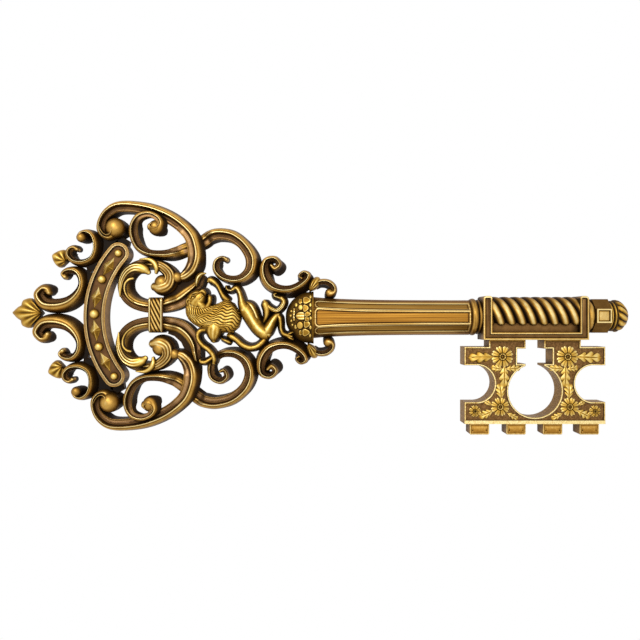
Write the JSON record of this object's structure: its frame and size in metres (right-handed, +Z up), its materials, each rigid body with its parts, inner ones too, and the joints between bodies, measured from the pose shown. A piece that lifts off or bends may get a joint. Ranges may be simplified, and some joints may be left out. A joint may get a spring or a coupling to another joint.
{
  "type": "decorative wall key",
  "caption": "Ornamental wall key: pierced scrollwork bow with a rampant lion, panelled shank, rope-twist barrel in a frame, flowered bit, and a swinging ring behind the bow to hang it by.",
  "frame": {"origin": "on the flat back of the shank's solid end, where the bow meets the shank, on the key's long axis", "axes": "+X along the key from the bow to the bit; +Y out of the back, into the wall; +Z up as the key lies, with the bit hanging down"},
  "size_m": [0.6289, 0.0238, 0.2376],
  "materials": {
    "gold": "satin",
    "pale_gold": "satin",
    "deep_gold": "satin",
    "steel": "satin"
  },
  "bodies": {
    "key": {"tip_leaf": "pale_gold", "tip_scroll_upper": "gold", "tip_scroll_lower": "gold", "side_leaf_upper": "pale_gold", "side_leaf_lower": "pale_gold", "side_scroll_upper": "gold", "side_scroll_lower": "gold", "crown_scroll_upper": "gold", "crown_scroll_lower": "gold", "long_scroll_upper": "gold", "long_scroll_lower": "gold", "heart_scroll_upper": "gold", "heart_scroll_lower": "gold", "acanthus_upper": "pale_gold", "acanthus_lower": "pale_gold", "crest_band": "deep_gold", "band_beads": "pale_gold", "band_diamonds": "pale_gold", "clasp": "deep_gold", "clasp_strands": "gold", "lion": "gold", "tendril": "pale_gold", "neck_scroll_upper": "gold", "neck_scroll_lower": "gold", "neck_leaf_upper": "pale_gold", "neck_leaf_lower": "pale_gold", "shoulder_hook_upper": "gold", "shoulder_hook_lower": "gold", "calyx": "gold", "shank": "gold", "shank_collar": "gold", "barrel_frame": "deep_gold", "rope_barrel": "gold", "end_ring": "gold", "nut_block": "deep_gold", "knob": "gold", "knob_stud": "steel", "bit_plate": "deep_gold", "bit_teeth": "gold", "bit_flowers": "pale_gold", "bit_leaves": "pale_gold", "hanger_plate": "steel", "hanger_screws": "steel"},
    "ring": {"hanger_ring": "steel"}
  },
  "joints": [
    {"name": "ring_swing", "type": "hinge", "parent": "key", "child": "ring", "pos_m": [-0.22452, -0.00254, 0.0036], "axis": [0, 0, -1], "range_deg": [0, 135]}
  ]
}
